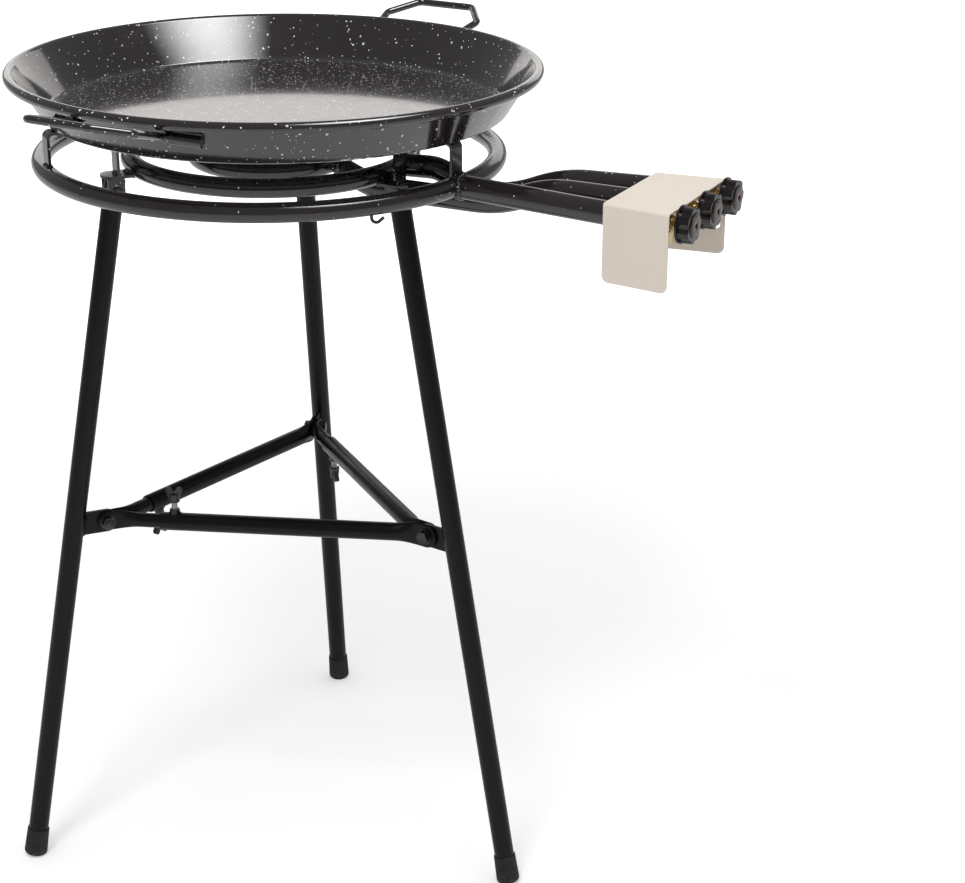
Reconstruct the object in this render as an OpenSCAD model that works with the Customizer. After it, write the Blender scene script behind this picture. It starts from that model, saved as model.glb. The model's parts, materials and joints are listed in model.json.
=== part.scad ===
// Three-ring gas burner on an adjustable tripod, with its shallow enamelled pan.
// Millimetres. Z is up, the floor is z = 0, the burner axis is the Z axis.
// The three inlet tubes fan out towards +X, the middle one along X.

/* [Overall] */
// Height of the ring plane above the floor
ring_height = 790; // [600:5:950]
// Outside diameter of the outer ring
burner_d = 500; // [420:5:650]
// Distance of the feet from the burner axis, measured on the leg axis at the floor
foot_reach = 317.3; // [260:0.1:420]

/* [Burner rings] */
// Outside diameter of the middle ring
mid_ring_d = 316.6; // [250:0.1:380]
// Outside diameter of the inner ring
inner_ring_d = 178; // [120:1:230]
// Diameter of the ring tubes
ring_tube_d = 20; // [16:0.5:26]
// Wall of the ring tubes and inlet tubes
tube_wall = 1.5; // [1:0.1:3]
// Pitch of the flame slots along each ring
slot_pitch = 12; // [5:0.5:20]
// Width of one flame slot
slot_w = 1.2; // [0.8:0.1:2]
// Length of one flame slot across the tube
slot_l = 6; // [4:0.5:8]
// Lean of the slot row from the top of the tube towards the burner axis
slot_lean = 28; // [0:1:60]

/* [Inlet tubes] */
// Diameter of the inlet tubes
inlet_d = 24; // [20:0.5:28]
// Angle between neighbouring inlet tubes
inlet_fan = 7.5; // [6.5:0.1:10]
// Length of an inlet tube outside the outer ring
inlet_len = 180; // [140:1:240]
// Bend radius of the inlet tubes where they dip under the outer ring
inlet_bend_r = 140; // [80:1:160]

/* [Pan supports and leg sockets] */
// Height of the pan base above the ring plane
pan_rise = 45.5; // [35:0.5:60]
// Width of the support straps
strap_w = 18; // [14:1:24]
// Thickness of the support straps
strap_t = 3; // [2:0.5:4]
// Outside bend radius of the support straps
strap_bend = 7; // [5:0.5:10]
// Gap between the middle ring and the inner foot of a strap
strap_gap = 9.7; // [6:0.1:14]
// Azimuth of the first pan support; the others follow at 120 degrees
support_azimuth = -8; // [-10:0.1:-6]

/* [Tripod] */
// Azimuth of the first leg, beside the inlet tube of the inner ring; the others follow at 120 degrees
leg_azimuth = -9.5; // [-12:0.1:-9.5]
// Diameter of the leg tubes
leg_d = 22; // [18:0.5:28]
// Wall of the leg and brace tubes
leg_wall = 1.5; // [1:0.1:3]
// Depth of the leg pivot under the ring plane
pivot_drop = 23; // [20:0.5:30]
// Diameter of the leg pivot bolts
pivot_d = 6; // [5:1:8]
// Height of the brace bolts above the floor
brace_height = 400; // [300:5:500]
// Distance of the brace bolts inside the leg axis
tab_reach = 36; // [30:1:45]
// Diameter of the outer brace tubes
sleeve_d = 20; // [18:0.5:24]
// Diameter of the inner brace tubes
rod_d = 16; // [13:0.5:18]
// Distance from a brace bolt to the open end of the outer brace tube
sleeve_gap = 60; // [55:1:90]
// Length of inner brace tube pushed into the outer one
rod_overlap = 110; // [80:5:150]
// Diameter of the brace bolts
brace_bolt_d = 8; // [6:1:10]
// Diameter of the rubber feet at the floor
foot_d = 26; // [25:0.5:34]
// Height of the rubber feet
foot_h = 33; // [24:1:40]

/* [Pan] */
// Diameter of the pan over its rolled rim
pan_d = 562; // [460:1:700]
// Offset of the pan from the burner axis along the middle inlet tube
pan_x = 3; // [-10:1:10]
// Offset of the pan from the burner axis across the inlet tubes
pan_y = 11; // [-12:1:12]
// Height of the pan from its base to the top of the rim
pan_h = 48.3; // [40:0.1:65]
// Diameter of the rolled rim
rim_d = 11; // [8:0.5:13]
// Sheet thickness of the pan
pan_t = 1.5; // [1:0.1:2.5]
// Radius of the flat base of the pan
pan_base_r = 240; // [200:1:300]
// Radius of the bend between base and wall
pan_corner_r = 6; // [4:0.5:10]
// Diameter of the handle wire
handle_wire = 8; // [6:0.5:10]
// Azimuth of the first handle; the second stands opposite
handle_azimuth = -92.8; // [-110:0.1:-70]
// Reach of a handle from the middle of the rim, along its slope
handle_out = 80; // [60:1:110]
// Slope of the handles
handle_tilt = 15.5; // [5:0.5:20]

/* [Controls] */
// Diameter of the knob skirts
knob_d = 38; // [30:1:42]
// Depth of a knob
knob_depth = 15; // [12:1:26]
// Depth of the shield skirts under the ring plane
shield_drop = 65; // [50:1:80]
// Length of the shield along the tubes
shield_len = 72; // [60:1:90]
// Sheet thickness of the shield
shield_t = 1.2; // [0.8:0.1:2]

/* [Hidden] */
$fn = 96;
seat = 0.05;          // seating gap of welded or bolted faces
play = 0.3;           // gap between faces that move past each other
run = 0.08;           // radial play of a turning shaft
fine = 0.02;

// ---- derived sizes ----
rr = ring_tube_d / 2;
ir = inlet_d / 2;
r_out = burner_d / 2 - rr;
r_mid = mid_ring_d / 2 - rr;
r_in = inner_ring_d / 2 - rr;
dip = rr + ir + seat;                    // inlet axis under a ring it passes
inlet_end = burner_d / 2 + inlet_len;    // open end of the inlet tubes
strap_in = r_mid + rr + strap_gap;       // inner face of the inner strap foot
strap_out = r_out + strap_t / 2;         // outer face of the outer strap foot
leg_top_r = strap_in + strap_t / 2 - 1.5;
splay = atan2(foot_reach - leg_top_r, ring_height);
pivot_r = leg_top_r + pivot_drop * tan(splay);
pivot_z = ring_height - pivot_drop;
foot_q = 4;                              // edge rounding of the feet
foot_flat = 1;                           // the rubber is pressed flat by this much
leg_len = foot_q + (pivot_z + foot_flat - (foot_d / 2 - foot_q) * sin(splay) - foot_q) / cos(splay);
bolt_r = leg_top_r + (ring_height - brace_height) * tan(splay) - tab_reach;
tab_t = 3;
flat_t = 2 * leg_wall + 0.4;             // thickness of a crushed tube end
flat_y = tab_t / 2 + play + flat_t / 2;
flat_len = 16;                           // bolt to the bend of a brace
brace_span = sqrt(3) * bolt_r;           // bolt to bolt
bend_s = flat_len * cos(30) + flat_y * sin(30); // bolt to bend along the brace
neck = 24;                               // crushed end to full round
clamp_s = 16;                            // open end of the sleeve to its clamp screw
rim_r = rim_d / 2;
web_z = -rr + 1;                         // underside of the socket plate
web_t = 3;
valve_s = inlet_end + 41;                // the valve inlets stand on the manifold here
valve_y = (inlet_end + 13.5) * sin(inlet_fan); // the valves lie side by side along X
man_z = 16;                              // manifold axis under the ring plane

// ---- helpers ----
function dir2(v) = v / norm(v);
function turn_at(p, i) = let (a = dir2(p[i] - p[i - 1]), b = dir2(p[i + 1] - p[i]))
    atan2(a[0] * b[1] - a[1] * b[0], a[0] * b[0] + a[1] * b[1]);
function cut_at(p, b, i) = (i == 0 || i == len(p) - 1) ? 0 : b[i] * tan(abs(turn_at(p, i)) / 2);

module bend(radius, angle, r)
    translate([0, radius, 0]) rotate([0, 0, -90])
        rotate_extrude(angle = angle) translate([radius, 0]) circle(r = r);

// Round bar of radius r along a flat path p with bend radii b
module bar(p, b, r) {
    n = len(p);
    for (i = [0 : n - 2]) {
        d = dir2(p[i + 1] - p[i]);
        // the straights are a hair thicker and run a hair into the bends
        a = p[i] + (cut_at(p, b, i) - (i == 0 ? 0 : 0.3)) * d;
        e = p[i + 1] - (cut_at(p, b, i + 1) - (i == n - 2 ? 0 : 0.3)) * d;
        translate([a[0], a[1], 0]) rotate([0, 0, atan2(d[1], d[0])]) rotate([0, 90, 0])
            cylinder(r = r + 0.03, h = norm(e - a));
    }
    if (n > 2) for (i = [1 : n - 2]) {
        d = dir2(p[i] - p[i - 1]);
        s = p[i] - cut_at(p, b, i) * d;
        t = turn_at(p, i);
        translate([s[0], s[1], 0]) rotate([0, 0, atan2(d[1], d[0])])
            mirror([0, t < 0 ? 1 : 0, 0]) bend(b[i], abs(t), r);
    }
}

module upright() rotate([90, 0, 0]) children();   // draws x,y paths in the x,z plane

module hex(af, h) cylinder(d = af / cos(30), h = h, $fn = 6);

module ray(k) rotate([0, 0, (k - 2) * inlet_fan]) translate([0, 0, ring_height]) children();

module valve_line(k) translate([inlet_end, (k - 2) * valve_y, ring_height]) rotate([0, 90, 0]) children();

module leg_side(k) rotate([0, 0, leg_azimuth + 120 * (k - 1)]) children();

module support_side(k) rotate([0, 0, support_azimuth + 120 * (k - 1)]) children();

module leg_line(k) leg_side(k) translate([pivot_r, 0, pivot_z]) rotate([0, -splay, 0]) children();

module corner(k) leg_side(k) translate([bolt_r, 0, brace_height]) children();

// ---- burner ----
module ring_pipe(radius, holes) {
    n = round(2 * PI * radius / slot_pitch);
    difference() {
        rotate_extrude() translate([radius, 0]) difference() {
            circle(r = rr);
            circle(r = rr - tube_wall);
        }
        for (i = [0 : n - 1]) rotate([0, 0, 360 / n * (i + 0.5)]) translate([radius, 0, 0])
            rotate([0, -slot_lean, 0]) translate([0, 0, rr])
                cube([slot_l, slot_w, 4 * tube_wall], center = true);
        children();
    }
}

module gas_port(k, radius, z0, lean)
    rotate([0, 0, (k - 2) * inlet_fan]) translate([radius, 0, z0]) rotate([0, 90 + lean, 0])
        cylinder(r = rr - tube_wall - 2.5, h = rr + 6);

module outer_ring() color("#1c1a1a") translate([0, 0, ring_height])
    ring_pipe(r_out) gas_port(1, r_out, 0, 0);

module middle_ring() color("#1c1a1a") translate([0, 0, ring_height])
    ring_pipe(r_mid) gas_port(3, r_mid, 0, 0);

module inner_ring() color("#1c1a1a") translate([0, 0, ring_height])
    ring_pipe(r_in) gas_port(2, r_in, 0, 12);

module ring_room(radius) rotate_extrude() translate([radius, 0]) circle(r = rr + seat);

module inlet(k, p, b, radius) color("#171616") translate([0, 0, ring_height]) {
    n = len(p);
    d = dir2(p[n - 1] - p[n - 2]);
    q = [for (i = [0 : n - 1]) i == 0 ? p[0] + [1, 0] : i == n - 1 ? p[n - 1] + 4 * d : p[i]];
    difference() {
        rotate([0, 0, (k - 2) * inlet_fan]) upright() difference() {
            bar(p, b, ir);
            bar(q, b, ir - tube_wall);
        }
        ring_room(radius);
    }
}

dip_out = r_out + 85.5;                  // corners of the dip under the outer ring
dip_in = r_out + 28.5;

module inlet_tube_outer() inlet(1, [[inlet_end, 0], [r_out + 6, 0]], [0, 0], r_out);

module inlet_tube_middle() inlet(3,
    [[inlet_end, 0], [dip_out, 0], [dip_in, -dip], [r_mid + rr + 66.7, -dip], [r_mid + rr + 31.7, 0], [r_mid + 6, 0]],
    [0, inlet_bend_r, inlet_bend_r, 38, 38, 0], r_mid);

module inlet_tube_inner() inlet(2,
    [[inlet_end, 0], [dip_out, 0], [dip_in, -dip], [r_mid - 24.3, -dip], [r_in + 5, -6.4]],
    [0, inlet_bend_r, inlet_bend_r, 60, 0], r_in);

// ---- pan supports and leg sockets ----
module strap_outline(w, h, r) {
    translate([0, -h]) square([w, h - r]);
    translate([r, -h]) square([w - 2 * r, h]);
    translate([r, -r]) circle(r = r);
    translate([w - r, -r]) circle(r = r);
}

module pan_support(k) color("#1a1919") support_side(k) difference() {
    translate([strap_in, strap_w / 2, ring_height + pan_rise - seat]) rotate([90, 0, 0])
        linear_extrude(strap_w) difference() {
            strap_outline(strap_out - strap_in, pan_rise - seat - web_z - web_t - seat, strap_bend);
            translate([strap_t, -strap_t])
                strap_outline(strap_out - strap_in - 2 * strap_t, pan_rise + 30, strap_bend - strap_t);
        }
    // the outer foot stands on the outer ring
    translate([strap_out - strap_t - 1, -strap_w, ring_height - 30]) cube([strap_t + 2, 2 * strap_w, 30 + 3]);
    translate([0, 0, ring_height]) ring_room(r_out);
}

ear_x = leg_d / 2 + play;
ear_t = 2;
module leg_socket(k) color("#1a1919") leg_side(k) difference() {
    translate([0, 0, ring_height]) union() {
        // plate from the middle ring out over the leg end, with a rounded nose
        translate([0, 0, web_z]) linear_extrude(web_t) {
            translate([r_mid + 5, -ear_x - ear_t]) square([pivot_r - r_mid - 5, 2 * (ear_x + ear_t)]);
            translate([pivot_r, 0]) circle(r = ear_x + ear_t);
        }
        // two ears beside the leg
        for (s = [-1, 1]) translate([pivot_r, s * (ear_x + ear_t / 2), 0]) rotate([90, 0, 0])
            linear_extrude(ear_t, center = true) {
                translate([0, -pivot_drop]) circle(r = 9);
                translate([-9, -pivot_drop]) square([18, pivot_drop + web_z + 0.5]);
            }
    }
    translate([0, 0, ring_height]) ring_room(r_mid);
    translate([pivot_r, 0, pivot_z]) rotate([90, 0, 0]) cylinder(d = pivot_d + 2 * seat, h = 60, center = true);
}

module socket_bolts() color("#8d8d8a") for (k = [1 : 3]) leg_side(k) translate([pivot_r, 0, pivot_z]) {
    side = ear_x + ear_t + seat;
    // bolt with a flat round head, on the side of the inlet tube at the first leg
    rotate([-90, 0, 0]) {
        translate([0, 0, -side - 7]) cylinder(d = pivot_d, h = 2 * side + 7);
        translate([0, 0, side]) cylinder(d1 = 2 * pivot_d, d2 = 2 * pivot_d - 2, h = 1.8);
    }
    // nut on the other side
    translate([0, -side, 0]) rotate([90, 0, 0]) difference() {
        hex(10, 5);
        translate([0, 0, -1]) cylinder(d = pivot_d + 2 * fine, h = 8);
    }
}

// ---- tripod ----
leg_fold = 5;                            // the legs splay this much further
// pivot to the top end of a leg, clear of the socket plate when the legs splay
leg_head = (pivot_drop + web_z - 2 * play - leg_d / 2 * sin(splay + leg_fold)) / cos(splay + leg_fold);
module leg(k) color("#121212") leg_line(k) difference() {
    translate([0, 0, -leg_len + 3]) cylinder(d = leg_d, h = leg_len - 3 + leg_head);
    translate([0, 0, -leg_len]) cylinder(d = leg_d - 2 * leg_wall, h = leg_len + leg_head + 5);
    rotate([90, 0, 0]) cylinder(d = pivot_d + 2 * run, h = 2 * leg_d, center = true);
}

module foot(k) color("#0d0d0d") difference() {
    leg_line(k) translate([0, 0, -leg_len]) difference() {
        rotate_extrude() {
            square([foot_d / 2 - foot_q, foot_q + 1]);
            // the cap tapers to a thin lip round the leg
            polygon([[0, foot_q], [foot_d / 2, foot_q], [leg_d / 2 + 1.2, foot_h - 0.8], [leg_d / 2 + 0.6, foot_h],
                [0, foot_h]]);
            translate([foot_d / 2 - foot_q - fine, foot_q]) circle(r = foot_q);
        }
        translate([0, 0, 3 - seat]) cylinder(d = leg_d + 2 * seat, h = foot_h);
    }
    // the sole rests flat on the floor
    translate([-1000, -1000, -100]) cube([2000, 2000, 100]);
}

tab_h = 26;
module leg_tab(k) color("#121212") corner(k) difference() {
    rotate([90, 0, 0]) linear_extrude(tab_t, center = true) {
        circle(d = tab_h);
        translate([0, -tab_h / 2]) square([tab_reach, tab_h]);
    }
    rotate([90, 0, 0]) cylinder(d = brace_bolt_d + 2 * run, h = 20, center = true);
    translate([tab_reach, 0, 0]) rotate([0, -splay, 0]) cylinder(d = leg_d + 2 * seat, h = 200, center = true);
}

// crushed end of a brace tube: flat round the bolt, then necking to a round tube
module brace_end(d, side) {
    w = min(1.35 * d, 27);
    // flat tongue beside the tab
    translate([0, side * flat_y, 0]) rotate([90, 0, 0]) linear_extrude(flat_t, center = true) {
        circle(d = w);
        translate([-flat_len, -w / 2]) square([flat_len, w]);
    }
    // neck from the flat tongue to the round tube, let in at both ends
    hull() {
        translate([0.6 - flat_len, side * flat_y, 0]) cube([0.6, flat_t - 0.1, w - 0.2], center = true);
        translate([-flat_len, side * flat_y, 0]) rotate([0, 0, 180 - side * 30])
            translate([neck + 1, 0, 0]) rotate([0, 90, 0]) cylinder(d = d - 0.5, h = 0.5, $fn = 48);
    }
}

module bolt_room(d) rotate([90, 0, 0]) cylinder(d = d, h = 40, center = true);

// frame of the straight brace tube leaving corner k on the given side; x runs along the tube from its bend
module brace_line(k, side) corner(k) translate([-flat_len, side * flat_y, 0]) rotate([0, 0, 180 - side * 30]) children();

sleeve_len = brace_span - bend_s - sleeve_gap;  // bend to open end
rod_end = sleeve_gap - bend_s + rod_overlap;    // bend to hidden end

module brace_sleeve(k, side, up) color("#121212") difference() {
    union() {
        corner(k) brace_end(sleeve_d, side);
        brace_line(k, side) translate([neck, 0, 0]) rotate([0, 90, 0]) cylinder(d = sleeve_d, h = sleeve_len - neck);
    }
    brace_line(k, side) translate([neck + 8, 0, 0]) rotate([0, 90, 0])
        cylinder(d = sleeve_d - 2 * leg_wall, h = sleeve_len);
    corner(k) bolt_room(brace_bolt_d + 2 * seat);
    brace_line(k, side) translate([sleeve_len - clamp_s, 0, 0]) rotate([up ? 0 : 180, 0, 0]) cylinder(d = 6.4, h = 20);
}

module brace_rod(k, side) color("#161616") difference() {
    union() {
        corner(k) brace_end(rod_d, side);
        brace_line(k, side) translate([neck, 0, 0]) rotate([0, 90, 0]) cylinder(d = rod_d, h = rod_end - neck);
    }
    brace_line(k, side) translate([neck + 6, 0, 0]) rotate([0, 90, 0])
        cylinder(d = rod_d - 2 * leg_wall, h = rod_end);
    corner(k) bolt_room(brace_bolt_d + 2 * seat);
}

module brace_bolt(k) color("#2a2a2a") corner(k) {
    side = flat_y + flat_t / 2 + seat;
    rotate([90, 0, 0]) {
        translate([0, 0, -side - 9]) cylinder(d = brace_bolt_d, h = 2 * side + 9);
        translate([0, 0, side]) cylinder(d = 17, h = 1.6);
        translate([0, 0, side + 1.6 - fine]) hex(13, 5.3);
    }
    translate([0, side, 0]) rotate([-90, 0, 0]) difference() {
        cylinder(d = 17, h = 1.6);
        translate([0, 0, -1]) cylinder(d = brace_bolt_d + 2 * fine, h = 4);
    }
    translate([0, side + 1.6 + fine, 0]) rotate([-90, 0, 0]) difference() {
        hex(13, 6.4);
        translate([0, 0, -1]) cylinder(d = brace_bolt_d + 2 * fine, h = 9);
    }
}

module clamp_frame(k, side, up) brace_line(k, side)
    translate([sleeve_len - clamp_s, 0, 0]) rotate([up ? 0 : 180, 0, 0]) children();

module clamp_nut(k, side, up) color("#1a1a1a") clamp_frame(k, side, up) difference() {
    translate([0, 0, sleeve_d / 2 - 1.2]) hex(10, 6.2);
    rotate([0, 90, 0]) cylinder(d = sleeve_d + 2 * seat, h = 40, center = true);
    cylinder(d = 6 + 2 * run, h = 40);
}

module wing_screw(k, side, up) color("#1a1a1a") clamp_frame(k, side, up) {
    tip = rod_d / 2 + seat;
    head = sleeve_d / 2 + 14;
    translate([0, 0, tip]) cylinder(d = 6, h = head + 6 - tip);
    translate([0, 0, head]) cylinder(d1 = 12, d2 = 10, h = 9);
    // the two thick wings with rounded tips
    rotate([90, 0, 0]) linear_extrude(5, center = true) translate([0, head]) {
        polygon([[-4.5, 0.5], [4.5, 0.5], [8.4, 12], [5, 15.5], [0, 10.5], [-5, 15.5], [-8.4, 12]]);
        translate([6, 13.2]) circle(r = 3.2);
        translate([-6, 13.2]) circle(r = 3.2);
    }
}

// ---- pan ----
// centre of the bend between base and wall, centre of the rolled rim, and the wall between them
pc = [pan_base_r, pan_corner_r];
pm = [pan_d / 2 - rim_r, pan_h - rim_r];
lean = atan2(pm[0] - pc[0], pm[1] - pc[1]) - asin((pan_corner_r + rim_r - pan_t) / norm(pm - pc));
pn = [cos(lean), -sin(lean)];
function wall_r(z) = pc[0] + pan_corner_r * pn[0] + (z - pc[1] - pan_corner_r * pn[1]) * tan(lean);

module pan_place() translate([pan_x, pan_y, ring_height + pan_rise]) children();

module pan() color("#141213") pan_place() rotate_extrude($fn = 180) {
    square([pan_base_r, pan_t]);
    difference() {
        translate(pc) circle(r = pan_corner_r);
        translate(pc) circle(r = pan_corner_r - pan_t);
        translate(pc) polygon([[0, 0], 3 * pan_corner_r * pn, [2 * pan_corner_r, 3 * pan_corner_r],
            [-2 * pan_corner_r, 3 * pan_corner_r], [-2 * pan_corner_r, -2 * pan_corner_r], [0, -2 * pan_corner_r]]);
    }
    polygon([pc + pan_corner_r * pn, pm - (rim_r - pan_t) * pn, pm - rim_r * pn, pc + (pan_corner_r - pan_t) * pn]);
    translate(pm) difference() {
        circle(r = rim_r);
        circle(r = rim_r - pan_t);
    }
}

// everything inside the outer face of the pan, with the seating gap
module pan_room() pan_place() rotate_extrude($fn = 180) {
    polygon([[0, -1], [pc[0] - 5, -1], pc + (pan_corner_r + seat) * pn, pm - (rim_r - pan_t - seat) * pn, [0, pan_h]]);
    translate(pm) circle(r = rim_r + seat);
}

wire_r = handle_wire / 2;
handle_h = pan_h - rim_d - wire_r - 1;   // plane of the wire at the rim, above the pan base
wall_gap = (wire_r + 0.3) / cos(lean);
module handle_frame(k) pan_place() rotate([0, 0, handle_azimuth + 180 * (k - 1)])
    translate([pm[0], 0, handle_h]) rotate([0, -handle_tilt, 0]) children();

// where the wire lies against the wall at t from the middle of the handle, in the plane of the handle
function lie_r(t, z) = sqrt(pow(wall_r(z), 2) - t * t) + wall_gap;
function lie(t) = let (z = handle_h - tan(handle_tilt) * (pm[0] - lie_r(t, handle_h))) (lie_r(t, z) - pm[0]) / cos(handle_tilt);
foot_a = [lie(49) + 0.75, 49];
foot_b = [lie(87) + 0.45, 87];

module pan_handle(k) color("#101010") handle_frame(k)
    bar([foot_b, foot_a, [handle_out - 34, 60.5], [handle_out, 35.5], [handle_out, -35.5], [handle_out - 34, -60.5],
        [foot_a[0], -foot_a[1]], [foot_b[0], -foot_b[1]]], [0, 6, 9, 9, 9, 9, 6, 0], wire_r);

module handle_clips(k) color("#141213") for (s = [0, 1]) difference() {
    handle_frame(k) mirror([0, s, 0]) translate([foot_a[0], foot_a[1], 0])
        rotate([0, 0, atan2(foot_b[1] - foot_a[1], foot_b[0] - foot_a[0])]) difference() {
            union() {
                // strap over the wire, with a flange lying on the wall
                translate([9, 0, 0]) rotate([0, 90, 0]) cylinder(r = wire_r + 1.6, h = 31);
                translate([9, 0, -wire_r - 1.6]) cube([31, 10, 2 * wire_r + 3.2]);
                translate([8.5, wall_gap, 0]) rotate([lean + handle_tilt, 0, 0]) translate([0, -2, -10]) cube([32, 10, 20]);
            }
            // channel for the wire, open towards the wall
            translate([-10, 0, 0]) rotate([0, 90, 0]) cylinder(r = wire_r + 2 * seat, h = 80);
            translate([-10, 0, -wire_r - seat]) cube([80, 20, 2 * (wire_r + seat)]);
        }
    pan_room();
}

// ---- gas train ----
module air_collars() color("#6e675a") difference() {
    for (k = [1 : 3]) ray(k) difference() {
        translate([inlet_end, 0, 0]) rotate([0, 90, 0]) {
            translate([0, 0, -8]) cylinder(r = ir - tube_wall - seat, h = 9);
            translate([0, 0, seat]) cylinder(r = ir, h = 15);
        }
        translate([inlet_end - 20, 0, 0]) rotate([0, 90, 0]) cylinder(r = ir - tube_wall - 2, h = 32);
        for (a = [0 : 90 : 270]) translate([inlet_end + 6.5, 0, 0]) rotate([45 + a, 0, 0]) cylinder(d = 7, h = 20);
    }
    // the back wall takes the valve outlet
    for (k = [1 : 3]) valve_line(k) cylinder(d = 10 + 2 * seat, h = 40);
}

module gas_jets() color("#b08d3c") for (k = [1 : 3]) valve_line(k) translate([0, 0, 6 - seat]) rotate([180, 0, 0])
    difference() {
        union() {
            hex(8, 4);
            cylinder(d = 6, h = 8);
            translate([0, 0, 8 - fine]) cylinder(d1 = 6, d2 = 4, h = 3);
        }
        translate([0, 0, -1]) cylinder(d = 1, h = 20);
        translate([0, 0, -1]) cylinder(d = 3, h = 8);
    }

module valve_body(k) color("#b08d3c") difference() {
    union() {
        valve_line(k) {
            translate([0, 0, 6]) cylinder(d = 10, h = 14);
            translate([0, 0, 16]) hex(18, 8);
            translate([0, 0, 22]) cylinder(d = 17, h = 26);
            translate([0, 0, 47]) hex(14, 6);
            translate([0, 0, 52]) cylinder(d = 11, h = 4);
        }
        translate([valve_s, (k - 2) * valve_y, ring_height - man_z + 6 + seat]) cylinder(d = 12, h = 8);
        translate([valve_s, (k - 2) * valve_y, ring_height - man_z + 6 + seat]) hex(14, 4);
    }
    valve_line(k) translate([0, 0, -1]) cylinder(d = 3, h = 30);
    valve_line(k) translate([0, 0, 27]) cylinder(d = 7 + 2 * run, h = 40);
    translate([valve_s, (k - 2) * valve_y, ring_height - 20]) cylinder(d = 5, h = 20);
}

knob_s = 61;                             // inlet end to the back of a knob
module spindle(k) color("#a98a40") valve_line(k) difference() {
    cylinder(d = 7, h = knob_s + 2);
    translate([0, 0, -1]) cylinder(d = 20, h = 29);
    // flat for the knob
    translate([-10 - 2, -10, knob_s - 2]) cube([10, 20, 20]);
    // seat of the knob is turned down
    translate([0, 0, knob_s - seat]) difference() {
        cylinder(d = 20, h = 30);
        translate([0, 0, -1]) cylinder(d = 6, h = 40);
    }
}

module knob(k) color("#0e0c0c") valve_line(k) translate([0, 0, knob_s + seat]) difference() {
    union() {
        // thin skirt at the back
        cylinder(d = knob_d, h = 2);
        // scalloped grip
        difference() {
            translate([0, 0, 1]) cylinder(d = knob_d - 3, h = knob_depth - 2.5);
            for (a = [0 : 360 / 7 : 359]) rotate([0, 0, a + 12]) translate([knob_d / 2 + 3.2, 0, 2]) cylinder(r = 7, h = knob_depth);
        }
        // slightly raised front
        translate([0, 0, knob_depth - 1.5 - fine]) cylinder(d1 = knob_d - 12, d2 = knob_d - 15, h = 1.5);
    }
    // socket for the flatted spindle
    translate([0, 0, -1]) difference() {
        cylinder(d = 6 + 2 * seat, h = 11.5);
        translate([-10 - 2 - seat, -5, -1]) cube([10, 10, 18]);
    }
    // hollow back
    translate([0, 0, -1]) difference() {
        cylinder(d = knob_d - 14, h = 9);
        translate([0, 0, -1]) cylinder(d = 11, h = 12);
    }
    // dimple in the middle of the front
    translate([0, 0, knob_depth - 1]) cylinder(d = 5, h = 3);
}

module gas_manifold() color("#b08d3c") translate([valve_s, 0, ring_height - man_z]) difference() {
    cube([16, 136, 12], center = true);
    rotate([90, 0, 0]) cylinder(d = 8, h = 130, center = true);
    translate([0, 66, 0]) rotate([90, 0, 0]) cylinder(d = 9 + 2 * seat, h = 16, center = true);
    for (k = [-1 : 1]) translate([0, k * valve_y, 0]) cylinder(d = 5, h = 20);
}

module hose_nipple() color("#b08d3c") translate([valve_s, 68 + seat, ring_height - man_z]) rotate([-90, 0, 0]) difference() {
    union() {
        translate([0, 0, -6]) cylinder(d = 9, h = 8);
        hex(13, 9);
        translate([0, 0, 8]) cylinder(d = 8, h = 30);
        for (i = [0 : 4]) translate([0, 0, 14 + i * 5]) cylinder(d1 = 10, d2 = 8.2, h = 4.5);
    }
    translate([0, 0, -10]) cylinder(d = 5, h = 60);
}

// quarter turn of an outline: corner c, radius r, from angle a
function round_at(c, r, a) = [for (i = [0 : 6]) c + r * [cos(a + 15 * i), sin(a + 15 * i)]];

// one half of the folded sheet, seen along its tube: flat top, rounded fold, skirt
module shield_half(s) rotate([0, 0, s * inlet_fan]) mirror([0, s < 0 ? 0 : 1, 0])
    translate([300, 0, 0]) rotate([90, 0, 90]) linear_extrude(300)
        let (x = -ir - seat - shield_t, top = ir + seat + shield_t, fold = 3)
            polygon(concat(
                [[x + shield_t, -shield_drop], [x, -shield_drop]],
                [for (i = [6 : -1 : 0]) round_at([x + fold, top - fold], fold, 90)[i]],
                [[x + 110, top], [x + 110, top - shield_t]],
                round_at([x + fold, top - fold], fold - shield_t, 90)));

shield_s = inlet_end - 16;               // inner edge of the shield
module heat_shield() color("#d9cfbc") translate([0, 0, ring_height]) difference() {
    for (s = [-1, 1]) intersection() {
        shield_half(s);
        translate([shield_s, s < 0 ? -200 : 0, -200]) cube([shield_len, 200, 400]);
    }
    // rounded lower corners
    for (s = [-1, 1]) for (e = [0, 1]) translate([shield_s + e * shield_len, 0, -shield_drop]) mirror([e, 0, 0])
        rotate([90, 0, 0]) linear_extrude(200, center = true)
            polygon(concat([[-1, 6.9], [-1, -1], [6.9, -1]], [for (i = [6 : -1 : 0]) round_at([6.9, 6.9], 7, 180)[i]]));
    // window in the far skirt for the hose
    translate([shield_s + shield_len - 46, 20, -39]) rotate([-90, 0, 0]) mirror([0, 1, 0]) linear_extrude(100)
        polygon(concat(round_at([4, 4], 4, 180), round_at([37, 4], 4, 270),
                       round_at([37, 31], 4, 0), round_at([4, 31], 4, 90)));
}

// small wire hook under the outer ring
module ring_hook() color("#1a1a1a") rotate([0, 0, -34.5]) translate([r_out, 0, ring_height - rr]) rotate([0, 0, 60])
    upright() bar([[0, -seat], [0, -12.5], [12, -1.8]], [0, 4.5, 0], 1.6);

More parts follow.
